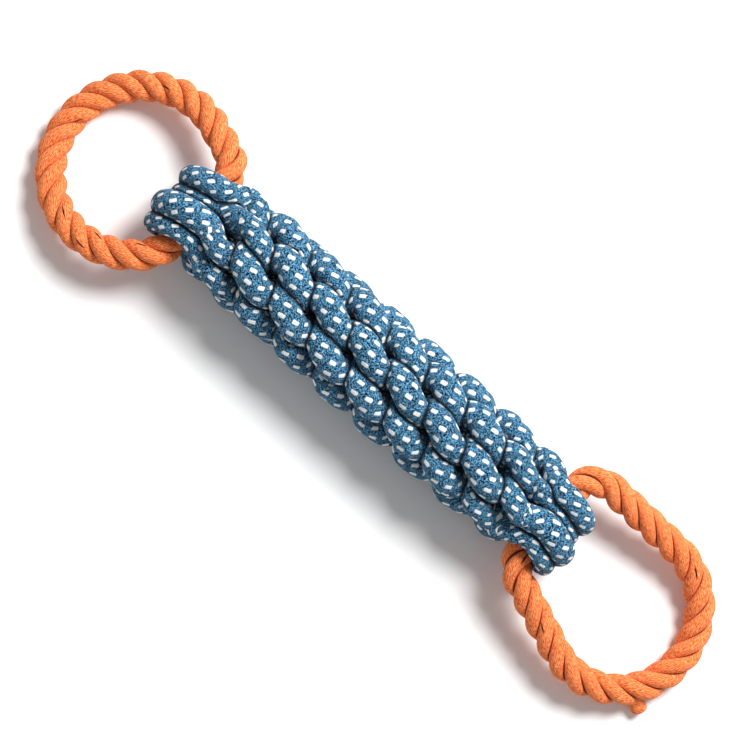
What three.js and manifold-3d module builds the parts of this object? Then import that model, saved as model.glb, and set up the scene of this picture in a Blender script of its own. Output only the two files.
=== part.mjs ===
// A rope tug toy. Four blue cords are folded over an orange rope ring, and their eight legs are
// worked into a round crown sinnet, in two sets of four that are crowned by turns, as far as a
// second ring. Each ring is a grommet of three-strand rope that swings in the cords' folds.
// Millimetres, +Z up. The braid runs along X and lies on z = 0.
import * as THREE from 'three';
import { mergeVertices } from 'three/addons/utils/BufferGeometryUtils.js';
import Module from 'manifold-3d';

// Blue cord, at its thickest, in the middle of a lobe.
const CORD_DIAMETER = 11.5;
const CORD_SIDES = 6;

// The braid. Its route is a screw of lobes, in cord diameters.
const LEGS = 8;
const LOBES_PER_LEG = 8;
const STEPS_PER_LOBE = 9;
const PITCH = 1.883 * CORD_DIAMETER;
const LOBE_ROUTE = 1.533 * CORD_DIAMETER;
const CROSSING_ROUTE = 0.667 * CORD_DIAMETER;
const SHOULDER_DROP = 0.087 * CORD_DIAMETER;
const CROWN_DROP = 0.038 * CORD_DIAMETER;
const LEFT_END_RISE = 0.033 * CORD_DIAMETER;
const RUN_IN = 1.083 * CORD_DIAMETER;
const WHOLE_TWIST = THREE.MathUtils.degToRad(45);

// The folds over the rings, where the cords are squeezed side by side.
const FOLD_DIAMETER = 0.6 * CORD_DIAMETER;
const FOLD_GAP = 0.4;
const FOLD_ROOM = 2.6;
const FOLD_STEPS = 8;
const TUCK = 3;
const END_GAP = 2;

// The rings, each of three strands.
const RING_ROPE_DIAMETER = 12.7;
const LEFT_RING_RADIUS = 35.7;
const LEFT_RING_REACH = 67;
const LEFT_RING_ASIDE = 3;
const RIGHT_RING_RADIUS = 33.2;
const RIGHT_RING_REACH = 83.5;
const RIGHT_RING_ASIDE = 6;
const RING_CORNER = 12.5;
const RING_CLEARANCE = 0.55;
const STRANDS = 3;
const STRAND_DIAMETER = 5.1;
const STRAND_SIDES = 6;
const BEND_SQUEEZE_SHARE = 2.8;
const BEND_STEP_SHARE = 0.012;
const LAY_TURNS = 8;
const STEPS_PER_TURN = 8;
const TAIL_LENGTH = 9;
const TAIL_SHARE = 0.418;
const BREAK_SHARE = 0.014;

// The lobes under the middle are pressed flat where the toy lies.
const FLAT_DEPTH = 0.1 * CORD_DIAMETER;

const AXIS_HEIGHT = LOBE_ROUTE + CORD_DIAMETER / 2 - FLAT_DEPTH;
const LAST_TURN = LOBES_PER_LEG - 1;
const RING_X = RUN_IN + (LAST_TURN + 0.5) * PITCH / 2;
const FOLD_ROUTE = RING_ROPE_DIAMETER / 2 + RING_CLEARANCE + FOLD_DIAMETER / 2;
const FOLD_SPACING = FOLD_DIAMETER + FOLD_GAP;

const blueCotton = new THREE.MeshStandardMaterial({ color: 0x4b6690, roughness: 0.95, metalness: 0 });
const orangeCotton = new THREE.MeshStandardMaterial({ color: 0xef7b3c, roughness: 0.95, metalness: 0 });

const { Manifold, Mesh: SolidMesh } = await loadSolids();

async function loadSolids() {
  const wasm = await Module();
  wasm.setup();
  return wasm;
}

function toSolid(geometry) {
  const bare = new THREE.BufferGeometry();
  bare.setAttribute('position', geometry.getAttribute('position'));
  bare.setIndex(geometry.getIndex());
  const merged = mergeVertices(bare);
  return new Manifold(new SolidMesh({
    numProp: 3,
    vertProperties: new Float32Array(merged.getAttribute('position').array),
    triVerts: new Uint32Array(merged.getIndex().array),
  }));
}

function toGeometry(solid) {
  const mesh = solid.getMesh();
  const geometry = new THREE.BufferGeometry();
  geometry.setAttribute('position', new THREE.BufferAttribute(mesh.vertProperties, 3));
  geometry.setIndex(new THREE.BufferAttribute(mesh.triVerts, 1));
  return geometry;
}

// A closed skin over stations along a route. Each station has a place, a radius and the direction
// of its section's first corner. An open skin is capped, and a looped one joins up with its start.
function skin(stations, sides, looped) {
  const count = stations.length;
  const positions = [];
  stations.forEach((station, i) => {
    const before = stations[looped ? (i + count - 1) % count : Math.max(i - 1, 0)];
    const after = stations[looped ? (i + 1) % count : Math.min(i + 1, count - 1)];
    const tangent = after.at.clone().sub(before.at).normalize();
    const side = station.side.clone().addScaledVector(tangent, -station.side.dot(tangent)).normalize();
    const across = tangent.clone().cross(side);
    for (let k = 0; k < sides; k++) {
      const angle = (2 * Math.PI * k) / sides;
      const corner = station.at.clone();
      corner.addScaledVector(side, station.radius * Math.cos(angle));
      corner.addScaledVector(across, station.radius * Math.sin(angle));
      positions.push(corner.x, corner.y, corner.z);
    }
  });
  const index = [];
  const spans = looped ? count : count - 1;
  for (let i = 0; i < spans; i++) {
    const here = i * sides;
    const next = ((i + 1) % count) * sides;
    for (let k = 0; k < sides; k++) {
      const m = (k + 1) % sides;
      index.push(here + k, here + m, next + k);
      index.push(here + m, next + m, next + k);
    }
  }
  if (!looped) {
    const last = (count - 1) * sides;
    for (let k = 1; k < sides - 1; k++) {
      index.push(0, k + 1, k);
      index.push(last, last + k, last + k + 1);
    }
  }
  const geometry = new THREE.BufferGeometry();
  geometry.setAttribute('position', new THREE.Float32BufferAttribute(positions, 3));
  geometry.setIndex(index);
  return geometry;
}

// Carries one section direction along an open route, so that the skin doesn't twist.
function carrySides(stations) {
  let side = new THREE.Vector3(0, 1, 0);
  stations.forEach((station, i) => {
    const before = stations[Math.max(i - 1, 0)];
    const after = stations[Math.min(i + 1, stations.length - 1)];
    const tangent = after.at.clone().sub(before.at).normalize();
    side = side.clone().addScaledVector(tangent, -side.dot(tangent)).normalize();
    station.side = side;
  });
  return stations;
}

// A place round the braid: along its axis, round it from straight up towards -Y, and out from it.
function place(along, azimuth, out, radius) {
  const y = -out * Math.sin(azimuth);
  const z = AXIS_HEIGHT + out * Math.cos(azimuth);
  return { at: new THREE.Vector3(along, y, z), radius };
}

// One leg of the braid at a number of turns past its first lobe's middle. Each whole turn brings
// the next lobe, a quarter of the way round. Half-way between two lobes the leg is deep inside,
// crossing under a lobe of the other set.
function braidRoute(turn) {
  const w = 2 * Math.PI * turn;
  const along = PITCH * (turn + 0.0822 * Math.sin(w) - 0.0147 * Math.sin(3 * w));
  const quarter = turn - 0.1449 * Math.sin(w) + 0.0255 * Math.sin(2 * w);
  const azimuth = (Math.PI / 2) * quarter + (WHOLE_TWIST / LAST_TURN) * turn;
  const middle = (LOBE_ROUTE + CROSSING_ROUTE) / 2 + SHOULDER_DROP;
  const swing = (LOBE_ROUTE - CROSSING_ROUTE) / 2 + CROWN_DROP;
  const shoulders = SHOULDER_DROP * Math.cos(2 * w) + CROWN_DROP * Math.cos(3 * w);
  const out = middle + swing * Math.cos(w) - shoulders - LEFT_END_RISE * Math.sin(w);
  const radius = CORD_DIAMETER * (0.345 + 0.0917 * Math.cos(w) + 0.0633 * Math.cos(2 * w));
  return { along, azimuth, out, radius };
}

// Eases from one value to another, level at both ends.
function ease(u, from, to) {
  return from + (to - from) * u * u * (3 - 2 * u);
}

// The slot that a leg takes in the row of folds, counted from +Y, and the azimuth of that place.
function slotOf(position) {
  const onTop = position < LEGS / 2;
  const slot = onTop ? position : LEGS - 1 - position;
  const y = FOLD_SPACING * ((LEGS / 2 - 1) / 2 - slot);
  const azimuth = onTop ? Math.atan2(-y, FOLD_ROUTE) : Math.PI + Math.atan2(y, FOLD_ROUTE);
  return { y, onTop, azimuth, out: Math.hypot(y, FOLD_ROUTE) };
}

function legAzimuth(position) {
  return (2 * Math.PI / LEGS) * (position - 1.5);
}

// A leg's straight run between a ring and the middle of its first or last lobe, from the ring on.
// It has taken up the lobe's place round the braid by RUN_IN, and then turns into the lobe's slope.
function runIn(position, lobe, ringX, steps) {
  const slot = slotOf(position);
  const length = lobe.along - ringX;
  const slope = (lobe.azimuthSlope / lobe.alongSlope) * length;
  const turnBack = Math.round((lobe.azimuth - slot.azimuth) / (2 * Math.PI)) * 2 * Math.PI;
  const stations = [];
  for (let i = 0; i < steps; i++) {
    const u = i / steps;
    const along = ringX + length * u;
    const near = Math.min(1, Math.abs(along - ringX) / RUN_IN) ** 2;
    const azimuth = ease(near, slot.azimuth + turnBack, lobe.azimuth) + slope * (u ** 3 - u ** 2);
    const out = ease(near, slot.out, lobe.out);
    const radius = ease(u * u, FOLD_DIAMETER / 2, lobe.radius);
    stations.push(place(along, azimuth, out, radius));
  }
  return stations;
}

function lobeAt(leg, turn) {
  const start = -RING_X + RUN_IN + (leg % 2 ? PITCH / 2 : 0);
  const twistStart = leg % 2 ? WHOLE_TWIST / LAST_TURN / 2 : 0;
  const here = braidRoute(turn);
  const near = braidRoute(turn + 0.001);
  return {
    along: start + here.along,
    azimuth: legAzimuth(leg) + twistStart - WHOLE_TWIST / LAST_TURN / 4 + here.azimuth,
    out: here.out,
    radius: here.radius,
    alongSlope: near.along - here.along,
    azimuthSlope: near.azimuth - here.azimuth,
  };
}

// Half a turn round a ring's rope in one slot, from the top to the bottom.
function fold(position, ringX, towards) {
  const slot = slotOf(position);
  const stations = [];
  for (let i = 1; i < FOLD_STEPS; i++) {
    const angle = (Math.PI * i) / FOLD_STEPS;
    const x = ringX + towards * FOLD_ROUTE * Math.sin(angle);
    const z = AXIS_HEIGHT + FOLD_ROUTE * Math.cos(angle);
    stations.push({ at: new THREE.Vector3(x, slot.y, z), radius: FOLD_DIAMETER / 2 });
  }
  return stations;
}

// One leg from the left ring to its end at the right ring. Legs that come out on top there fold
// round the ring and end tucked under it, and those below end just short of the tucked ends.
function legRoute(leg) {
  const first = lobeAt(leg, 0);
  const last = lobeAt(leg, LAST_TURN);
  const endPosition = (leg + LEGS - 1) % LEGS;
  const slot = slotOf(endPosition);
  const longRun = leg % 2 ? 5 : 3;
  const shortRun = leg % 2 ? 3 : 5;
  const stations = runIn(leg, first, -RING_X, longRun);
  for (let i = 0; i <= LAST_TURN * STEPS_PER_LOBE; i++) {
    const lobe = lobeAt(leg, i / STEPS_PER_LOBE);
    stations.push(place(lobe.along, lobe.azimuth, lobe.out, lobe.radius));
  }
  const runOut = runIn(endPosition, last, RING_X, shortRun).reverse();
  if (slot.onTop) {
    const tucked = new THREE.Vector3(RING_X - TUCK, slot.y, AXIS_HEIGHT - FOLD_ROUTE);
    stations.push(...runOut, ...fold(endPosition, RING_X, 1));
    stations.push({ at: new THREE.Vector3(RING_X, slot.y, AXIS_HEIGHT - FOLD_ROUTE), radius: FOLD_DIAMETER / 2 });
    stations.push({ at: tucked, radius: FOLD_DIAMETER / 2 });
  } else {
    const endX = RING_X - TUCK - END_GAP;
    stations.push(...runOut.filter((station) => station.at.x < endX));
    const before = stations[stations.length - 1].at;
    const ring = runOut[runOut.length - 1].at;
    const share = (endX - before.x) / (ring.x - before.x);
    stations.push({ at: before.clone().lerp(ring, share), radius: FOLD_DIAMETER / 2 });
  }
  return stations;
}

// One cord: a leg on top of the left ring, the fold, and the leg below it in the same slot.
function cordRoute(topLeg) {
  const bottomLeg = LEGS - 1 - topLeg;
  const stations = legRoute(topLeg).reverse();
  stations.push(...fold(topLeg, -RING_X, -1), ...legRoute(bottomLeg));
  return stations;
}

// The corner at +Y between a ring's straight stretch and its far bend. Where the far bend comes so
// near that it takes in a corner of the usual radius, the corner is as round as it needs.
function ringCorner(straight, radius, farX, farY) {
  const overshoot = radius + farX;
  const across = straight - farY;
  const snug = overshoot > 0 ? (radius ** 2 - farX ** 2 - across ** 2) / (2 * overshoot) : 0;
  const round = Math.max(RING_CORNER, 1.01 * snug);
  const apart = new THREE.Vector2(farX + round, -across);
  const turn = apart.angle() - Math.acos((round - radius) / apart.length());
  return { round, turn };
}

// A ring's centre line in its own plane. It is straight along Y where the folds hold it and a little
// past them, so that the ring clears the braid when it swings back. It then rounds the corners and
// runs out towards -X to a far bend of the ring's radius, which lies to one side.
function ringLoop(radius, reach, aside) {
  const straight = FOLD_SPACING * 1.5 + FOLD_DIAMETER / 6 + FOLD_ROOM;
  const farX = radius - reach;
  const first = ringCorner(straight, radius, farX, aside);
  const last = ringCorner(straight, radius, farX, -aside);
  const lastStart = 2 * Math.PI - last.turn;
  const loop = new THREE.Path();
  loop.moveTo(0, 0);
  loop.lineTo(0, straight);
  loop.absarc(-first.round, straight, first.round, 0, first.turn, false);
  loop.absarc(farX, aside, radius, first.turn, lastStart, false);
  loop.absarc(-last.round, -straight, last.round, lastStart, 2 * Math.PI, false);
  loop.lineTo(0, 0);
  return loop;
}

function wrapShare(share) {
  return ((share % 1) + 1) % 1;
}

// How sharply a ring's centre line bends, as one over the radius of the bend.
function bendAt(loop, share) {
  const before = loop.getTangentAt(wrapShare(share - BEND_STEP_SHARE));
  const after = loop.getTangentAt(wrapShare(share + BEND_STEP_SHARE));
  return Math.atan2(before.cross(after), before.dot(after)) / (2 * BEND_STEP_SHARE * loop.getLength());
}

// One strand's place in a ring, laid right-handed round the ring's centre line. It is pressed
// thinner where it lies on the inside of a sharp bend.
function strandStation(loop, share, phase) {
  const along = wrapShare(share);
  const centre = loop.getPointAt(along);
  const tangent = loop.getTangentAt(along);
  const angle = 2 * Math.PI * LAY_TURNS * share + phase;
  const lay = (RING_ROPE_DIAMETER - STRAND_DIAMETER) / 2;
  const side = new THREE.Vector3(tangent.y * Math.cos(angle), -tangent.x * Math.cos(angle), -Math.sin(angle));
  const at = new THREE.Vector3(centre.x, centre.y, 0).addScaledVector(side, -lay);
  const pressed = Math.max(0, Math.cos(angle) * lay * bendAt(loop, along));
  const radius = (STRAND_DIAMETER / 2) * (1 - BEND_SQUEEZE_SHARE * pressed ** 2);
  return { at, side, radius };
}

function ringStrand(loop, strand, hasTail) {
  const tailPhase = -2 * Math.PI * LAY_TURNS * (TAIL_SHARE - BREAK_SHARE) + Math.PI;
  const phase = tailPhase + (2 * Math.PI * strand) / STRANDS;
  const count = LAY_TURNS * STEPS_PER_TURN;
  const stations = [];
  if (!hasTail) {
    for (let i = 0; i < count; i++) {
      stations.push(strandStation(loop, i / count, phase));
    }
    return skin(stations, STRAND_SIDES, true);
  }
  for (let i = 0; i <= count; i++) {
    const share = TAIL_SHARE + BREAK_SHARE + ((1 - 2 * BREAK_SHARE) * i) / count;
    stations.push(strandStation(loop, share, phase));
  }
  const end = stations[count];
  const heading = end.at.clone().sub(stations[count - 1].at).normalize();
  const outward = heading.addScaledVector(end.side, -2).normalize();
  for (const share of [0.5, 1]) {
    const at = end.at.clone().addScaledVector(outward, TAIL_LENGTH * share);
    stations.push({ at, side: end.side, radius: end.radius });
  }
  return skin(stations, STRAND_SIDES, false);
}

const toy = new THREE.Group();

const floor = new THREE.BoxGeometry(4 * RING_X, 4 * LOBE_ROUTE, 2 * CORD_DIAMETER);
floor.translate(0, 0, -CORD_DIAMETER);
const floorSolid = toSolid(floor);
for (let slot = 0; slot < LEGS / 2; slot++) {
  const cord = skin(carrySides(cordRoute(slot)), CORD_SIDES, false);
  const pressed = new THREE.Mesh(toGeometry(toSolid(cord).subtract(floorSolid)), blueCotton);
  pressed.name = `blue_cord_${slot + 1}`;
  toy.add(pressed);
}

const rings = [
  { end: 'left', x: -RING_X, facing: 0, radius: LEFT_RING_RADIUS, reach: LEFT_RING_REACH, aside: -LEFT_RING_ASIDE },
  { end: 'right', x: RING_X, facing: Math.PI, radius: RIGHT_RING_RADIUS, reach: RIGHT_RING_REACH, aside: RIGHT_RING_ASIDE },
];
for (const { end, x, facing, radius, reach, aside } of rings) {
  const loop = ringLoop(radius, reach, aside);
  const hinge = new THREE.Group();
  hinge.position.set(x, 0, AXIS_HEIGHT);
  hinge.rotation.z = facing;
  const ring = new THREE.Group();
  ring.rotation.y = -Math.asin((AXIS_HEIGHT - RING_ROPE_DIAMETER / 2) / reach);
  hinge.add(ring);
  toy.add(hinge);
  for (let strand = 0; strand < STRANDS; strand++) {
    const hasTail = end === 'right' && strand === 0;
    const mesh = new THREE.Mesh(ringStrand(loop, strand, hasTail), orangeCotton);
    mesh.name = `${end}_ring_strand_${strand + 1}`;
    ring.add(mesh);
  }
}

// The origin goes under the middle of the whole toy, on the floor.
const box = new THREE.Box3().setFromObject(toy, true);
const middle = box.getCenter(new THREE.Vector3());
toy.position.set(-middle.x, -middle.y, -box.min.z);

export default toy;
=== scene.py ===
from math import acos, asin, atan2, ceil, cos, exp, hypot, pi, radians, sin, tan

import bpy
import numpy as np
from mathutils import Matrix, Vector
from mathutils.kdtree import KDTree


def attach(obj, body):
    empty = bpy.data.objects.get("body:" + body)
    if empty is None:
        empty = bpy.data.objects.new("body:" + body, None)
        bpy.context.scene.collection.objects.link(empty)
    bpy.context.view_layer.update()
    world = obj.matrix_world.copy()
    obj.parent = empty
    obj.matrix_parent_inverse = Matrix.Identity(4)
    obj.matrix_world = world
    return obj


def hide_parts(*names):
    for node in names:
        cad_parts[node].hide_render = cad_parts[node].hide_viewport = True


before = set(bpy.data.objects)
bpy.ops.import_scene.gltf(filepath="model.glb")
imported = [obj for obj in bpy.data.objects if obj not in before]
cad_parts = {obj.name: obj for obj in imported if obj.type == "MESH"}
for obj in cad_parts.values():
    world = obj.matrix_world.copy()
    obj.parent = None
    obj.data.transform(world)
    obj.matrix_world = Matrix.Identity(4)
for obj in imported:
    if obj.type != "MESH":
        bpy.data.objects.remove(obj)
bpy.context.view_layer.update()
bpy.ops.object.select_all(action="DESELECT")
scene = bpy.context.scene
scene.view_settings.view_transform = "Standard"


# The view: a long lens held nearly straight over the toy, turned so that the braid runs from the
# upper left of a square picture to its lower right.
VIEW_AZIMUTH = radians(-110.7)
VIEW_ELEVATION = radians(83.6)
VIEW_ROLL = radians(-62.04)
VIEW_DISTANCE = 0.889
VIEW_LENS = 105.6
VIEW_SENSOR = 36
VIEW_HEIGHT = 0.02
VIEW_ASIDE = (-0.0036, 0.0044)

towards_camera = Vector((
    cos(VIEW_ELEVATION) * cos(VIEW_AZIMUTH),
    cos(VIEW_ELEVATION) * sin(VIEW_AZIMUTH),
    sin(VIEW_ELEVATION),
))
level_right = Vector((-sin(VIEW_AZIMUTH), cos(VIEW_AZIMUTH), 0))
level_up = towards_camera.cross(level_right)
picture_right = cos(VIEW_ROLL) * level_right - sin(VIEW_ROLL) * level_up
picture_up = sin(VIEW_ROLL) * level_right + cos(VIEW_ROLL) * level_up
aim = Vector((0, 0, VIEW_HEIGHT)) + VIEW_ASIDE[0] * picture_right + VIEW_ASIDE[1] * picture_up
eye = aim + VIEW_DISTANCE * towards_camera
bpy.ops.object.camera_add()
camera = bpy.context.object
camera.data.lens = VIEW_LENS
camera.data.sensor_width = VIEW_SENSOR
camera_turn = Matrix((picture_right, picture_up, towards_camera)).transposed()
camera.matrix_world = Matrix.Translation(eye) @ camera_turn.to_4x4()
scene.camera = camera


# The blue cords: four lengths of soft cotton cord with a round braided cover, each folded once over the
# left ring. Their eight legs are worked into a round crown sinnet, in two sets of four by turns, and
# at the right ring the legs that come out on top fold round it and are tucked under.

# Sizes are in millimetres, and a finished piece is brought to metres when it is put in its place.
MM = 0.001
TOY_SHIFT = Vector((-8.2603, 3.1553, 0))
CORD = 11.5
LEGS = 8
FOLDS = LEGS // 2
LAST_TURN = 7
PITCH = 1.883 * CORD
RUN_IN = 1.083 * CORD
LOBE_ROUTE = 1.533 * CORD
CROSSING_ROUTE = 0.667 * CORD
PRESSED_FLAT = 0.1 * CORD
AXIS_HEIGHT = LOBE_ROUTE + CORD / 2 - PRESSED_FLAT
RING_X = RUN_IN + (LAST_TURN + 0.5) * PITCH / 2
RING_ROPE = 12.7


def ease(u, start, stop):
    return start + (stop - start) * u * u * (3 - 2 * u)


def station(at, outward, wide, deep):
    """One stop on a route: its place, its outward side, and half its width and depth there."""
    return {"at": at, "outward": outward, "wide": wide, "deep": deep}


def round_braid(along, azimuth, out):
    outward = Vector((0, -sin(azimuth), cos(azimuth)))
    return Vector((along, 0, AXIS_HEIGHT)) + out * outward, outward


# A leg makes one lobe in each turn. On top of a lobe it runs more along the braid, and where it dives under
# the other set it turns more round it.
LEG_OFFSET = 1.5
TWIST_OFFSET = 0.25
WHOLE_TWIST = radians(45)
SHOULDER_DROP = 0.087 * CORD
CROWN_DROP = 0.038 * CORD
LEFT_END_RISE = 0.033 * CORD
ROUND_LAG = (0.1449, 0.0255)
ALONG_LEAD = (0.0822, 0.0147)
WIDE_SHARES = (0.478, 0.046)
DEEP_SHARES = (0.458, 0.044)
# The first and last lobes are pressed a little slimmer, where a ring that is swung right back passes them.
END_SLIM = 0.19
END_SLIM_TURNS = 0.35
# Where they cross, the cords are pressed inwards and fill the middle of the braid.
CROSSING_FILL = 2.0


def lobe_at(leg, turn):
    w = 2 * pi * turn
    quarter = turn - ROUND_LAG[0] * sin(w) + ROUND_LAG[1] * sin(2 * w)
    middle = (LOBE_ROUTE + CROSSING_ROUTE) / 2 + SHOULDER_DROP
    swing = (LOBE_ROUTE - CROSSING_ROUTE) / 2 + CROWN_DROP
    shoulders = SHOULDER_DROP * cos(2 * w) + CROWN_DROP * cos(3 * w)
    late = leg % 2
    start = -RING_X + RUN_IN + late * PITCH / 2
    turned = WHOLE_TWIST / LAST_TURN * (turn + late / 2 - TWIST_OFFSET)
    fill = CROSSING_FILL * (1 - cos(w)) / 2
    slim = 1 - END_SLIM * exp(-(min(turn, LAST_TURN - turn) / END_SLIM_TURNS) ** 2)
    return {
        "along": start + PITCH * (turn + ALONG_LEAD[0] * sin(w) - ALONG_LEAD[1] * sin(3 * w)),
        "azimuth": 2 * pi / LEGS * (leg - LEG_OFFSET) + pi / 2 * quarter + turned,
        "out": middle + swing * cos(w) - shoulders - LEFT_END_RISE * sin(w) - fill,
        "wide": CORD * slim * (WIDE_SHARES[0] + WIDE_SHARES[1] * cos(w)),
        "deep": CORD * slim * (DEEP_SHARES[0] + DEEP_SHARES[1] * cos(w)) + fill,
    }


# Over each ring lie four folds, listed from the far side: two are full and high, and two are pressed in
# beside them.
FOLD_PLAY = 0.55
FOLD_INSIDE = RING_ROPE / 2 + FOLD_PLAY
FOLD_FORMS = (
    {"y": 10.8, "rise": 2.3, "wide": 4.9, "deep": 4.6},
    {"y": 3.6, "rise": -0.3, "wide": 4.2, "deep": 3.9},
    {"y": -4.0, "rise": 3.3, "wide": 5.7, "deep": 5.2},
    {"y": -11.6, "rise": -0.3, "wide": 4.5, "deep": 4.1},
)
FOLD_HOOK = 3.2
FOLD_STEPS = 36
# Behind each ring too, the cords are pressed inwards and fill the middle.
FILL_FROM = 7
FILL_SHARE = 0.6
FILL_EARLY = 0.9
RUN_STEPS = 26
LOBE_STEPS = 64
SLOPE_TURN = 0.001
TUCK = 3
END_GAP = 2


def fold_slot(position):
    """Where a leg meets a ring: positions 0 to 3 are the folds' upper sides, 4 to 7 their lower sides."""
    on_top = position < FOLDS
    form = FOLD_FORMS[position if on_top else LEGS - 1 - position]
    y = form["y"]
    out = FOLD_INSIDE + form["deep"] + (form["rise"] if on_top else 0)
    azimuth = atan2(-y, out) if on_top else pi + atan2(y, out)
    return {**form, "on_top": on_top, "azimuth": azimuth, "out": hypot(y, out)}


def run_in(position, leg, turn, ring_x):
    """The stretch of a leg between a ring and its first or last lobe, from the ring."""
    slot = fold_slot(position)
    lobe = lobe_at(leg, turn)
    beyond = lobe_at(leg, turn + SLOPE_TURN)
    length = lobe["along"] - ring_x
    slope = (beyond["azimuth"] - lobe["azimuth"]) / (beyond["along"] - lobe["along"]) * length
    turn_back = round((lobe["azimuth"] - slot["azimuth"]) / (2 * pi)) * 2 * pi
    straight_out = Vector((0, 0, 1 if slot["on_top"] else -1))
    span = abs(length) - FILL_FROM
    stations = []
    for i in range(RUN_STEPS):
        u = i / RUN_STEPS
        along = ring_x + length * u
        reach = abs(along - ring_x)
        near = min(1, reach / RUN_IN) ** 2
        past = max(0, reach - FILL_FROM) / span
        fill = FILL_SHARE * span * sin(pi * past ** FILL_EARLY) ** 2
        azimuth = ease(near, slot["azimuth"] + turn_back, lobe["azimuth"]) + slope * (u ** 3 - u ** 2)
        at, outward = round_braid(along, azimuth, ease(near, slot["out"], lobe["out"]) - fill / 2)
        outward = straight_out.lerp(outward, ease(near, 0, 1)).normalized()
        wide = ease(u * u, slot["wide"], lobe["wide"])
        deep = ease(u * u, slot["deep"], lobe["deep"]) + fill / 2
        stations.append(station(at, outward, wide, deep))
    return stations


def fold_over(position, ring_x, towards, last_step):
    """A fold from the top of a ring round its outer side. FOLD_STEPS steps bring it right below the ring."""
    slot = fold_slot(position)
    stations = []
    for i in range(1, last_step + 1):
        angle = pi * i / FOLD_STEPS
        outward = Vector((towards * sin(angle), 0, cos(angle)))
        out = FOLD_INSIDE + slot["deep"] + slot["rise"] * max(0, cos(angle))
        at = Vector((ring_x, slot["y"] - FOLD_HOOK * sin(angle), AXIS_HEIGHT)) + out * outward
        stations.append(station(at, outward, slot["wide"], slot["deep"]))
    return stations


def leg_route(leg):
    """A leg from the left ring through the braid to its end at the right ring."""
    end_position = (leg + LEGS - 1) % LEGS
    stations = run_in(leg, leg, 0, -RING_X)
    for i in range(LAST_TURN * LOBE_STEPS + 1):
        lobe = lobe_at(leg, i / LOBE_STEPS)
        at, outward = round_braid(lobe["along"], lobe["azimuth"], lobe["out"])
        stations.append(station(at, outward, lobe["wide"], lobe["deep"]))
    run_out = run_in(end_position, leg, LAST_TURN, RING_X)[::-1]
    if fold_slot(end_position)["on_top"]:
        stations += run_out + fold_over(end_position, RING_X, 1, FOLD_STEPS)
        under = stations[-1]
        for share in (0.5, 1):
            at = under["at"] - Vector((TUCK * share, 0, 0))
            stations.append({**under, "at": at})
    else:
        stations += [stop for stop in run_out if stop["at"].x < RING_X - TUCK - END_GAP]
    return stations


def sweep(name, stations, sides, looped, length_from):
    """A closed skin over a route. Its UV map gives the place round it and the length along its crest."""
    at = np.array([stop["at"] for stop in stations])
    outward = np.array([stop["outward"] for stop in stations])
    wide = np.array([stop["wide"] for stop in stations])[:, None, None]
    deep = np.array([stop["deep"] for stop in stations])[:, None, None]
    if looped:
        tangent = np.roll(at, -1, 0) - np.roll(at, 1, 0)
    else:
        tangent = np.gradient(at, axis=0)
    tangent /= np.linalg.norm(tangent, axis=1)[:, None]
    outward -= tangent * (outward * tangent).sum(1)[:, None]
    outward /= np.linalg.norm(outward, axis=1)[:, None]
    across = np.cross(tangent, outward)
    angle = (2 * pi * np.arange(sides) / sides)[None, :, None]
    rise = deep * np.cos(angle) * outward[:, None, :]
    spread = wide * np.sin(angle) * across[:, None, :]
    skin = at[:, None, :] + rise + spread
    crest = skin[:, 0]
    if looped:
        crest = np.append(crest, crest[:1], axis=0)
    step = np.linalg.norm(np.diff(crest, axis=0), axis=1)
    length = length_from + np.concatenate([[0], np.cumsum(step)])
    count = len(at)
    points = [tuple(point) for point in skin.reshape(-1, 3)]
    faces = []
    places = []
    for i in range(count if looped else count - 1):
        j = (i + 1) % count
        here = length[i]
        further = length[i + 1]
        for k in range(sides):
            m = (k + 1) % sides
            faces.append((i * sides + k, i * sides + m, j * sides + m, j * sides + k))
            left = k / sides
            right = (k + 1) / sides
            places += [(left, here), (right, here), (right, further), (left, further)]
    if not looped:
        for end in (0, count - 1):
            pole = len(points)
            points.append(tuple(at[end]))
            for k in range(sides):
                edge = [end * sides + k, end * sides + (k + 1) % sides]
                if end == 0:
                    edge.reverse()
                faces.append((*edge, pole))
                places += [(k / sides, length[end])] * 3
    mesh = bpy.data.meshes.new(name)
    mesh.from_pydata(points, [], faces)
    uv = mesh.uv_layers.new(name="wrap")
    uv.data.foreach_set("uv", np.array(places).ravel())
    mesh.polygons.foreach_set("use_smooth", [True] * len(mesh.polygons))
    piece = bpy.data.objects.new(name, mesh)
    scene.collection.objects.link(piece)
    return piece


# A cut end is rounded over a short way. Its last ring stays a little open, and the sweep closes it.
CAP_STEPS = 5
CAP_SHARE = 0.3
CAP_OPEN = 0.3


def round_ends(stations):
    """Adds a rounded end to both ends of an open route."""
    caps = []
    for last, inner in ((stations[0], stations[1]), (stations[-1], stations[-2])):
        heading = (last["at"] - inner["at"]).normalized()
        cap = []
        for i in range(1, CAP_STEPS + 1):
            angle = pi / 2 * i / (CAP_STEPS + CAP_OPEN)
            at = last["at"] + heading * CAP_SHARE * last["deep"] * sin(angle)
            wide = last["wide"] * cos(angle)
            deep = last["deep"] * cos(angle)
            cap.append({**last, "at": at, "wide": wide, "deep": deep})
        caps.append(cap)
    return caps[0][::-1] + stations + caps[1]


# Where a cord lies close to its neighbours it is in their shade, and a mark on each point says so. The
# finish paints this shade into the cord's colour.
CREASE_REACH = 2.2


def mark_tucked(mesh, values):
    """Tells the finish how far its neighbours cover each point of a piece, from 0 to 1."""
    marks = np.zeros(len(mesh.vertices))
    marks[:len(values)] = values
    mesh.attributes.new("tucked", "FLOAT", "POINT").data.foreach_set("value", marks)


def tree_beside(runs, joined):
    """The stations that a run of cord may press against, in a tree that finds the nearest."""
    beside = [stop for number, run in runs.items() if number not in joined for stop in run]
    tree = KDTree(len(beside))
    for i, other in enumerate(beside):
        tree.insert(other["at"], i)
    tree.balance()
    return tree, beside


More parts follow.
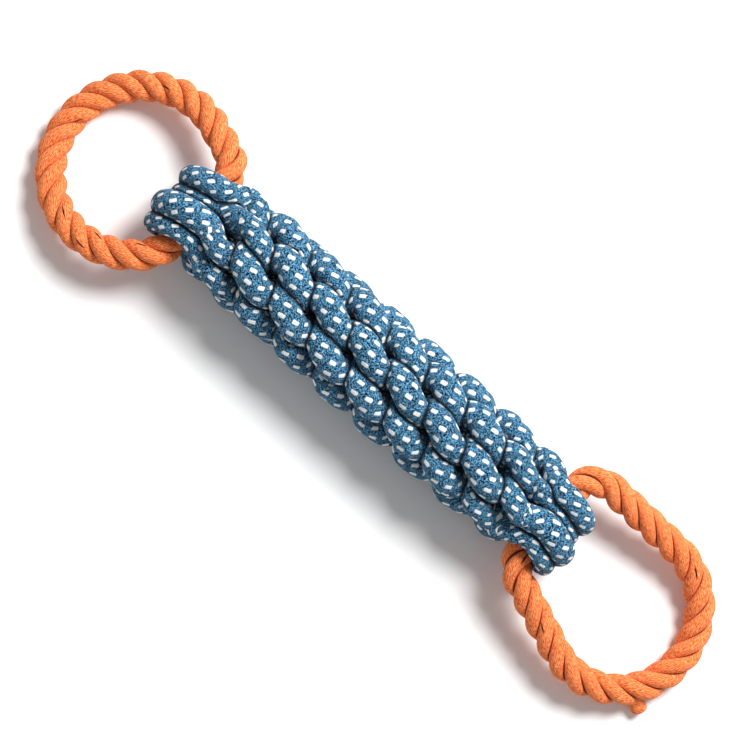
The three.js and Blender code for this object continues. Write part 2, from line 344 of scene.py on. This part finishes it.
def gap_beside(point, tree, beside):
    """How far a point is from the skin of the nearest cord beside it."""
    other = beside[tree.find(point)[1]]
    apart = point - other["at"]
    outwards = apart.dot(other["outward"])
    sideways = max(0, apart.length_squared - outwards ** 2) ** 0.5
    reach = hypot(outwards / other["deep"], sideways / other["wide"])
    return (reach - 1) * (other["deep"] + other["wide"]) / 2


# The toy lies on the floor by its own weight, so its lowest points are pressed flat. These are in metres.
SOFT_FROM = 0.0012
SOFT_LEAST = 0.0002
SOFT_PRESS = 1.2


def settle(mesh):
    """Presses what hangs below the floor up to it, softly."""
    for vertex in mesh.vertices:
        if vertex.co.z < SOFT_FROM:
            pressed = exp((vertex.co.z / SOFT_FROM - 1) * SOFT_PRESS)
            vertex.co.z = SOFT_LEAST + (SOFT_FROM - SOFT_LEAST) * pressed


class Amount:
    """A number that varies over a surface. Sums on it add Math nodes."""

    def __init__(self, nodes, socket):
        self.nodes = nodes
        self.socket = socket

    def maths(self, operation, *values):
        return self.nodes.node("ShaderNodeMath", {"operation": operation}, dict(enumerate(values)))

    def __add__(self, other):
        return self.maths("ADD", self, other)

    __radd__ = __add__

    def __sub__(self, other):
        return self.maths("SUBTRACT", self, other)

    def __rsub__(self, other):
        return self.maths("SUBTRACT", other, self)

    def __mul__(self, other):
        return self.maths("MULTIPLY", self, other)

    __rmul__ = __mul__

    def __abs__(self):
        return self.maths("ABSOLUTE", self)

    def floor(self):
        return self.maths("FLOOR", self)

    def fraction(self):
        return self.maths("FRACT", self)

    def wave(self):
        return self.maths("SINE", self * (2 * pi))

    def at_least(self, other):
        return self.maths("MAXIMUM", self, other)

    def at_most(self, other):
        return self.maths("MINIMUM", self, other)

    def root(self):
        return self.maths("SQRT", self)

    def ramp(self, low, high):
        settings = {"interpolation_type": "SMOOTHSTEP"}
        inputs = {"Value": self, "From Min": low, "From Max": high}
        return self.nodes.node("ShaderNodeMapRange", settings, inputs)


class Nodes:
    """The nodes of a material or of the world, all made by one method."""

    def __init__(self, tree):
        self.tree = tree

    def node(self, kind, settings=None, inputs=None, output=0):
        made = self.tree.nodes.new(kind)
        for name, value in (settings or {}).items():
            setattr(made, name, value)
        for name, value in (inputs or {}).items():
            self.feed(made.inputs[name], value)
        return Amount(self, made.outputs[output])

    def feed(self, socket, value):
        if isinstance(value, Amount):
            self.tree.links.new(value.socket, socket)
        else:
            socket.default_value = value


class Finish(Nodes):
    """A material with one Principled shader, and the nodes that feed it."""

    def __init__(self, name, fixed):
        self.material = bpy.data.materials.new(name)
        self.material.use_nodes = True
        super().__init__(self.material.node_tree)
        self.shader = self.tree.nodes["Principled BSDF"]
        for socket, value in fixed.items():
            self.shader.inputs[socket].default_value = value

    def mix(self, share, first, second):
        return self.node("ShaderNodeMix", {"data_type": "RGBA"}, {0: share, 6: first, 7: second}, output=2)

    def wrap(self):
        """The place round the piece, from 0 to 1 and 0.5 at its crest, and the length along it."""
        uv = self.node("ShaderNodeUVMap", {"uv_map": "wrap"})
        from_crest = self.node("ShaderNodeSeparateXYZ", None, {0: uv}, output="X")
        along = self.node("ShaderNodeSeparateXYZ", None, {0: uv}, output="Y")
        return (from_crest + 0.5).fraction(), along

    def tucked(self):
        """How far the neighbours cover the piece, from 0 to 1."""
        return self.node("ShaderNodeAttribute", {"attribute_name": "tucked"}, output="Fac")

    def noise(self, x, y, layer, detail):
        """Soft blotches about one unit across. Each use has a layer of its own, so that no two match."""
        place = self.node("ShaderNodeCombineXYZ", None, {0: x, 1: y, 2: layer})
        return self.node("ShaderNodeTexNoise", None, {"Vector": place, "Scale": 1.0, "Detail": detail})

    def colour(self, value):
        self.feed(self.shader.inputs["Base Color"], value)

    def bump(self, height, distance, strength):
        inputs = {"Height": height, "Distance": distance, "Strength": strength}
        self.feed(self.shader.inputs["Normal"], self.node("ShaderNodeBump", None, inputs))


def paint(red, green, blue):
    """A colour as a paint chart gives it, in linear light."""
    chart = [part / 255 for part in (red, green, blue)]
    return (*[part / 12.92 if part <= 0.04045 else ((part + 0.055) / 1.055) ** 2.4 for part in chart], 1)


# The cover is plaited of heathered yarns. Its white flecks stand in nine rows round the cord, each row a
# third of a step back from the last, and lean with one of the two yarn directions.
CORD_ROUND = 35
FLECK_ROWS = 9
FLECK_STEP = 8.2
FLECK_BACK = 1 / 3
FLECK_TILT = radians(-33)
FLECK_WIDE = 0.28
FLECK_LONG = 1.1
FLECK_EDGE = (0.4, 0.7)
FRAY = 0.5
FRAY_ROUND = 64
FRAY_ALONG = 1.6
YARN_TILT = radians(22)
PLAIT_ROWS = 24
PLAIT_EDGE = 0.15
STROKE_FINE = 3.0
HEATHER_RANGE = (0.49, 0.585)
GRAIN_FINE = 2
GRAIN_RANGE = (0.3, 0.7)
GRAIN_ON_BLUE = 0.12
GRAIN_ON_WHITE = 0.4
# The side of a cord that faces the middle of the braid is in the shade, and so are its creases. Both are
# painted darker in the colour, as painted shade.
INNER_RANGE = (0.46, 0.76)
INNER_SHADE = 0.7
CREASE_RANGE = (0.15, 0.8)
CREASE_SHADE = 0.92
PLAIT_RISE = 0.35
HEATHER_RISE = 0.6
FLECK_RISE = 1.2
GRAIN_RISE = 0.3
BLUE_RELIEF = 0.0004
RELIEF_STRENGTH = 0.8
INDIGO_YARN = paint(0, 14, 32)
FADED_YARN = paint(112, 182, 224)
BLUE_GRAIN = paint(24, 78, 118)
WHITE_YARN = paint(255, 255, 255)
WHITE_GRAIN = paint(232, 236, 240)
PAINTED_BLUE_SHADE = paint(4, 16, 30)
SOFT_COTTON = {"Roughness": 0.92, "Specular IOR Level": 0.15, "Sheen Weight": 0.03, "Sheen Roughness": 0.5}

blue_cotton = Finish("blue_braided_cotton", SOFT_COTTON)
cord_turn, cord_along = blue_cotton.wrap()
row = cord_turn * FLECK_ROWS
row_number = row.floor()
row_across = (row - row_number - 0.5) * (CORD_ROUND / FLECK_ROWS)
row_along = ((cord_along * (1 / FLECK_STEP) - row_number * FLECK_BACK).fraction() - 0.5) * FLECK_STEP
fleck_across = row_across * cos(FLECK_TILT) - row_along * sin(FLECK_TILT)
fleck_along = row_along * cos(FLECK_TILT) + row_across * sin(FLECK_TILT)
past_side = (abs(fleck_across) - FLECK_WIDE).at_least(0)
past_end = (abs(fleck_along) - FLECK_LONG).at_least(0)
fray = blue_cotton.noise(cord_turn * FRAY_ROUND, cord_along * FRAY_ALONG, layer=0, detail=2)
fleck_edge = (past_side * past_side + past_end * past_end).root() + fray * FRAY - FRAY / 2
fleck = 1 - fleck_edge.ramp(*FLECK_EDGE)

cord_across = cord_turn * CORD_ROUND
plait_turn = cord_turn * PLAIT_ROWS
plait_along = cord_along * (PLAIT_ROWS / CORD_ROUND * tan(YARN_TILT))
plait = (plait_turn + plait_along).wave() * (plait_turn - plait_along).wave()
strokes = []
for tilt, stroke_layer in ((YARN_TILT, 3), (-YARN_TILT, 9)):
    stroke_across = cord_across * cos(tilt) - cord_along * sin(tilt)
    stroke_along = cord_along * cos(tilt) + cord_across * sin(tilt)
    strokes.append(blue_cotton.noise(stroke_across * STROKE_FINE, stroke_along, stroke_layer, detail=0))
upper_yarn = plait.ramp(-PLAIT_EDGE, PLAIT_EDGE)
heather = (upper_yarn * strokes[0] + (1 - upper_yarn) * strokes[1]).ramp(*HEATHER_RANGE)
grain = blue_cotton.noise(cord_across * GRAIN_FINE, cord_along * GRAIN_FINE, layer=5, detail=1)
grain = grain.ramp(*GRAIN_RANGE)
denim = blue_cotton.mix(heather, INDIGO_YARN, FADED_YARN)
denim = blue_cotton.mix(grain * GRAIN_ON_BLUE, denim, BLUE_GRAIN)
white = blue_cotton.mix(grain * GRAIN_ON_WHITE, WHITE_YARN, WHITE_GRAIN)
cover = blue_cotton.mix(fleck, denim, white)
# Painted shade: the inner side and the creases of each cord are darkened towards a dark blue in the colour.
painted_inner_shade = (abs(cord_turn - 0.5) * 2).ramp(*INNER_RANGE) * INNER_SHADE
painted_crease_shade = blue_cotton.tucked().ramp(*CREASE_RANGE) * CREASE_SHADE
blue_cotton.colour(blue_cotton.mix(painted_inner_shade.at_least(painted_crease_shade), cover, PAINTED_BLUE_SHADE))
cover_relief = plait * PLAIT_RISE + heather * HEATHER_RISE + fleck * FLECK_RISE + grain * GRAIN_RISE
blue_cotton.bump(cover_relief, BLUE_RELIEF, RELIEF_STRENGTH)

# The runs of cord are the eight legs and then the four folds over the left ring. A cord is a leg, a fold
# and another leg. The cover's pattern starts at another length on each cord, so that no two are alike.
CORD_SIDES = 48
COVER_SHIFT = 137

cord_runs = {leg: leg_route(leg) for leg in range(LEGS)}
for fold in range(FOLDS):
    cord_runs[LEGS + fold] = fold_over(fold, -RING_X, -1, FOLD_STEPS - 1)
for run_number, run_stops in cord_runs.items():
    for run_stop in run_stops:
        run_stop["run"] = run_number

for first_leg in range(FOLDS):
    second_leg = LEGS - 1 - first_leg
    between = LEGS + first_leg
    neighbours = {
        first_leg: tree_beside(cord_runs, (first_leg, between)),
        second_leg: tree_beside(cord_runs, (second_leg, between)),
        between: tree_beside(cord_runs, (first_leg, second_leg, between)),
    }
    cord_route = round_ends(cord_runs[first_leg][::-1] + cord_runs[between] + cord_runs[second_leg])
    cord = sweep(f"flecked_cord_{first_leg + 1}", cord_route, CORD_SIDES, False, COVER_SHIFT * first_leg)
    covered = []
    for number, vertex in enumerate(cord.data.vertices[:len(cord_route) * CORD_SIDES]):
        gap = gap_beside(vertex.co, *neighbours[cord_route[number // CORD_SIDES]["run"]])
        covered.append(1 - min(1, max(0, gap / CREASE_REACH)))
    mark_tucked(cord.data, covered)
    cord.data.transform(Matrix.Scale(MM, 4) @ Matrix.Translation(TOY_SHIFT))
    settle(cord.data)
    cord.data.materials.append(blue_cotton.material)
    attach(cord, "braid")
    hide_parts(f"blue_cord_{first_leg + 1}")


# The rings: soft orange cotton rope of three strands, laid right-handed, each closed into a grommet.
# They run straight through the cords' folds and hang with their far sides on the floor. On the right
# ring one strand's end stands out of the far bend.
STRANDS = 3
LAY_TURNS = 8
LAY_RADIUS = 3.5
STRAND_DEEP = 3.05
STRAND_WIDE = 3.12
STRAND_SIDES = 28
TURN_STEPS = 56
RING_CORNER = 12.5
SNUG_ROOM = 1.01
FOLD = 0.6 * CORD
FOLD_GAP = 0.4
FOLD_SPACING = FOLD + FOLD_GAP
FOLD_ROOM = 2.6
STRAIGHT = FOLD_SPACING * 1.5 + FOLD / 6 + FOLD_ROOM
LINE_STEP = 0.4
HEADING_SHARE = 0.002
RINGS = (
    {"end": "left", "x": -RING_X, "facing": 0, "radius": 35.7, "reach": 67, "aside": -3},
    {"end": "right", "x": RING_X, "facing": pi, "radius": 33.2, "reach": 83.5, "aside": 6},
)


def ring_corner(radius, far_x, far_y):
    """The radius and angle of the corner that leads from the straight stretch into the far bend."""
    overshoot = radius + far_x
    across = STRAIGHT - far_y
    snug = (radius ** 2 - far_x ** 2 - across ** 2) / (2 * overshoot) if overshoot > 0 else 0
    corner = max(RING_CORNER, SNUG_ROOM * snug)
    apart = Vector((far_x + corner, -across))
    return corner, atan2(apart.y, apart.x) % (2 * pi) - acos((corner - radius) / apart.length)


def ring_line(radius, reach, aside):
    """A ring's centre line in its own plane, as a place and a heading at a share of its length."""
    far_x = radius - reach
    corner, turned = ring_corner(radius, far_x, aside)
    last_corner, last_turned = ring_corner(radius, far_x, -aside)
    last_start = 2 * pi - last_turned
    bends = (
        (-corner, STRAIGHT, corner, 0, turned),
        (far_x, aside, radius, turned, last_start),
        (-last_corner, -STRAIGHT, last_corner, last_start, 2 * pi),
    )
    line = [Vector((0, 0)), Vector((0, STRAIGHT))]
    for x, y, bend, start, stop in bends:
        steps = ceil((stop - start) * bend / LINE_STEP)
        for i in range(steps + 1):
            angle = start + (stop - start) * i / steps
            line.append(Vector((x + bend * cos(angle), y + bend * sin(angle))))
    line.append(Vector((0, 0)))
    line = np.array(line)
    measure = np.concatenate([[0], np.cumsum(np.linalg.norm(np.diff(line, axis=0), axis=1))])

    def at_share(share):
        places = (np.array([share - HEADING_SHARE, share, share + HEADING_SHARE]) % 1) * measure[-1]
        x = np.interp(places, measure, line[:, 0])
        y = np.interp(places, measure, line[:, 1])
        return Vector((x[1], y[1], 0)), Vector((x[2] - x[0], y[2] - y[0], 0)).normalized()

    return at_share


def strand_station(at_share, share, phase):
    centre, heading = at_share(share)
    angle = 2 * pi * LAY_TURNS * share + phase
    outward = Vector((-heading.y * cos(angle), heading.x * cos(angle), sin(angle)))
    return station(centre + LAY_RADIUS * outward, outward, STRAND_WIDE, STRAND_DEEP)


# The strand with the tail is broken at the far bend. One end stays in the lay, and the other leans out.
TAIL_SHARE = 0.418
BREAK_SHARE = 0.014
TAIL_LENGTH = 9
TAIL_THICK = 3.5
TAIL_STEPS = 14
TAIL_LEAN = 2
TAIL_BEND = 1.6


def tail_route(lay):
    """A broken strand with its tail, and both its ends rounded."""
    tip = lay[-1]
    heading = (tip["at"] - lay[-2]["at"]).normalized()
    outwards = (heading + TAIL_LEAN * tip["outward"]).normalized()
    stations = list(lay)
    for i in range(1, TAIL_STEPS + 1):
        u = i / TAIL_STEPS
        lean = heading.lerp(outwards, min(1, TAIL_BEND * u)).normalized()
        at = stations[-1]["at"] + lean * TAIL_LENGTH / TAIL_STEPS
        thick = ease(u, STRAND_DEEP, TAIL_THICK)
        stations.append(station(at, tip["outward"], thick, thick))
    return round_ends(stations)


# The yarns of a strand wander a little and are soft with fibre, and the grooves between strands are darkened
# with painted shade.
YARNS = 26
YARN_SLANT = 0.8
WANDER = 2.4
WANDER_ROUND = 5
WANDER_ALONG = 0.12
FIBRE_ROUND = 1.6
FIBRE_ALONG = 0.6
CLOUD_ROUND = 3
CLOUD_ALONG = 0.15
YARN_SHADE = 0.16
FIBRE_SHADE = 0.78
CLOUD_SHADE = 0.1
SHADE_RANGE = (0.36, 0.68)
GROOVE_RANGE = (0.44, 0.54)
GROOVE_SHADE = 0.95
YARN_RISE = 0.4
FIBRE_RISE = 1.4
SLIT_SINK = 2
ORANGE_RELIEF = 0.0003
DEEP_ORANGE = paint(212, 80, 27)
PALE_ORANGE = paint(255, 160, 100)
GROOVE_SHADE_BROWN = paint(112, 34, 10)
SLIT_SHADE_BLACK = paint(22, 6, 3)

orange_cotton = Finish("orange_laid_cotton", SOFT_COTTON)
strand_turn, strand_along = orange_cotton.wrap()
yarn_turn = strand_turn * YARNS + strand_along * YARN_SLANT
wander = orange_cotton.noise(strand_turn * WANDER_ROUND, strand_along * WANDER_ALONG, layer=1, detail=2)
yarn = (yarn_turn + wander * WANDER).wave() * 0.5 + 0.5
fibre = orange_cotton.noise(yarn_turn * FIBRE_ROUND, strand_along * FIBRE_ALONG, layer=4, detail=1)
cloud = orange_cotton.noise(strand_turn * CLOUD_ROUND, strand_along * CLOUD_ALONG, layer=7, detail=2)
shade = (yarn * YARN_SHADE + fibre * FIBRE_SHADE + cloud * CLOUD_SHADE).ramp(*SHADE_RANGE)
rope_colour = orange_cotton.mix(shade, DEEP_ORANGE, PALE_ORANGE)
# Painted shade: the grooves between strands are darkened in the colour.
painted_groove_shade = (abs(strand_turn - 0.5) * 2).ramp(*GROOVE_RANGE) * orange_cotton.tucked()
rope_colour = orange_cotton.mix(painted_groove_shade * GROOVE_SHADE, rope_colour, GROOVE_SHADE_BROWN)

# Here and there two yarns have parted and left a slit, which lies along the rope. Its dark inside is painted
# shade, and the bump sinks it. Each is given by its ring, its strand, its place round the strand and its
# length along it.
SLIT_WIDE = 0.3
SLIT_LONG = 3.4
SLIT_TILT = radians(-32)
SLIT_EDGE = (0.4, 1.3)
SLITS = (
    ("left", 1, 0.357, 191.9),
    ("left", 1, 0.464, 300.0),
    ("left", 3, 0.464, 311.3),
    ("left", 1, 0.429, 343.3),
    ("left", 3, 0.357, 117.3),
    ("left", 2, 0.536, 281.0),
    ("right", 2, 0.536, 332.8),
    ("right", 2, 0.536, 31.4),
    ("right", 2, 0.643, 86.2),
    ("right", 3, 0.464, 276.5),
)
STRAND_SHIFT = 500
RIGHT_RING_SHIFT = 2000


def first_length(end, strand_number):
    """Where a strand's length starts to count, so that no two strands share a place."""
    return STRAND_SHIFT * (strand_number - 1) + (RIGHT_RING_SHIFT if end == "right" else 0)


slit = 0
for slit_end, slit_strand, slit_turn, slit_length in SLITS:
    from_slit = (strand_turn - slit_turn) * (2 * pi * STRAND_WIDE)
    past_slit = strand_along - (first_length(slit_end, slit_strand) + slit_length)
    slit_across = (from_slit * cos(SLIT_TILT) - past_slit * sin(SLIT_TILT)) * (1 / SLIT_WIDE)
    slit_along = (past_slit * cos(SLIT_TILT) + from_slit * sin(SLIT_TILT)) * (1 / SLIT_LONG)
    slit = slit + 1 - (slit_across * slit_across + slit_along * slit_along).ramp(*SLIT_EDGE)
# Painted shade: each slit's dark inside is painted near black in the colour.
orange_cotton.colour(orange_cotton.mix(slit, rope_colour, SLIT_SHADE_BLACK))
rope_relief = yarn * YARN_RISE + fibre * FIBRE_RISE - slit * SLIT_SINK
orange_cotton.bump(rope_relief, ORANGE_RELIEF, RELIEF_STRENGTH)

LAY_STEPS = LAY_TURNS * TURN_STEPS
FIRST_PHASE = -2 * pi * LAY_TURNS * (TAIL_SHARE - BREAK_SHARE) + pi

for ring in RINGS:
    ring_end = ring["end"]
    share_line = ring_line(ring["radius"], ring["reach"], ring["aside"])
    droop = asin((AXIS_HEIGHT - RING_ROPE / 2) / ring["reach"])
    hang = Matrix.Translation(Vector((ring["x"], 0, AXIS_HEIGHT)) + TOY_SHIFT)
    hang = hang @ Matrix.Rotation(ring["facing"], 4, "Z") @ Matrix.Rotation(-droop, 4, "Y")
    for strand_number in range(1, STRANDS + 1):
        strand_phase = FIRST_PHASE + 2 * pi * (strand_number - 1) / STRANDS
        has_tail = ring_end == "right" and strand_number == 1
        if has_tail:
            break_end = TAIL_SHARE + BREAK_SHARE
            lay_shares = [break_end + (1 - 2 * BREAK_SHARE) * i / LAY_STEPS for i in range(LAY_STEPS + 1)]
        else:
            lay_shares = [i / LAY_STEPS for i in range(LAY_STEPS)]
        strand_route = [strand_station(share_line, lay_share, strand_phase) for lay_share in lay_shares]
        in_lay = len(strand_route)
        if has_tail:
            strand_route = tail_route(strand_route)
            in_lay += CAP_STEPS
        strand_name = f"{ring_end}_rope_strand_{strand_number}"
        counted_from = first_length(ring_end, strand_number)
        strand = sweep(strand_name, strand_route, STRAND_SIDES, not has_tail, counted_from)
        mark_tucked(strand.data, [1.0] * (STRAND_SIDES * in_lay))
        strand.data.transform(Matrix.Scale(MM, 4) @ hang)
        settle(strand.data)
        strand.data.materials.append(orange_cotton.material)
        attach(strand, f"{ring_end}_ring")
        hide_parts(f"{ring_end}_ring_strand_{strand_number}")


# The floor: a plain matt white sheet that the toy lies on. It takes the toy's shadow close by, and further
# off it fades into an even white that is seen but lights nothing.
FLOOR_SIZE = 12
FLOOR_WHITE = {"Base Color": paint(250, 250, 250), "Roughness": 0.9}
FADE_FROM = 0.26
FADE_TO = 0.5


def seen(nodes):
    """1 where the background is looked at, straight or in a reflection, and 0 where it gives light."""
    looks = 0
    for ray in ("Is Camera Ray", "Is Glossy Ray", "Is Transmission Ray"):
        looks = looks + nodes.node("ShaderNodeLightPath", output=ray)
    return looks.at_most(1)


bpy.ops.mesh.primitive_plane_add(size=FLOOR_SIZE, location=(0, 0, 0))
floor = bpy.context.object
floor.name = "floor"
floor_white = Finish("floor_white", FLOOR_WHITE)
floor_place = floor_white.node("ShaderNodeTexCoord", output="Object")
away = floor_white.node("ShaderNodeVectorMath", {"operation": "LENGTH"}, {0: floor_place}, output="Value")
even_white = floor_white.node("ShaderNodeEmission", None, {"Color": (1, 1, 1, 1)})
near_white = Amount(floor_white, floor_white.shader.outputs[0])
fade = away.ramp(FADE_FROM, FADE_TO) * seen(floor_white)
faded = floor_white.node("ShaderNodeMixShader", None, {0: fade, 1: near_white, 2: even_white})
floor_white.feed(floor_white.tree.nodes["Material Output"].inputs["Surface"], faded)
floor.data.materials.append(floor_white.material)


# The light: one broad soft lamp from the upper right of the picture, and a pale even surround, which
# the camera sees as white.
LAMP_RIGHT = 0.6
LAMP_UP = 0.55
LAMP_DISTANCE = 1.2
LAMP_SIZE = 0.55
LAMP_POWER = 21.5
SURROUND = 0.36

lamp_from = (LAMP_RIGHT * picture_right + LAMP_UP * picture_up + Vector((0, 0, 1))).normalized()
bpy.ops.object.light_add(type="AREA", location=LAMP_DISTANCE * lamp_from)
lamp = bpy.context.object
lamp.name = "soft_lamp"
lamp.data.shape = "DISK"
lamp.data.size = LAMP_SIZE
lamp.data.energy = LAMP_POWER
lamp.rotation_euler = lamp_from.to_track_quat("Z", "Y").to_euler()
scene.world = bpy.data.worlds.new("pale_surround")
scene.world.use_nodes = True
surround = Nodes(scene.world.node_tree)
sky = surround.tree.nodes["Background"]
surround.feed(sky.inputs["Color"], (1, 1, 1, 1))
surround.feed(sky.inputs["Strength"], SURROUND + (1 - SURROUND) * seen(surround))
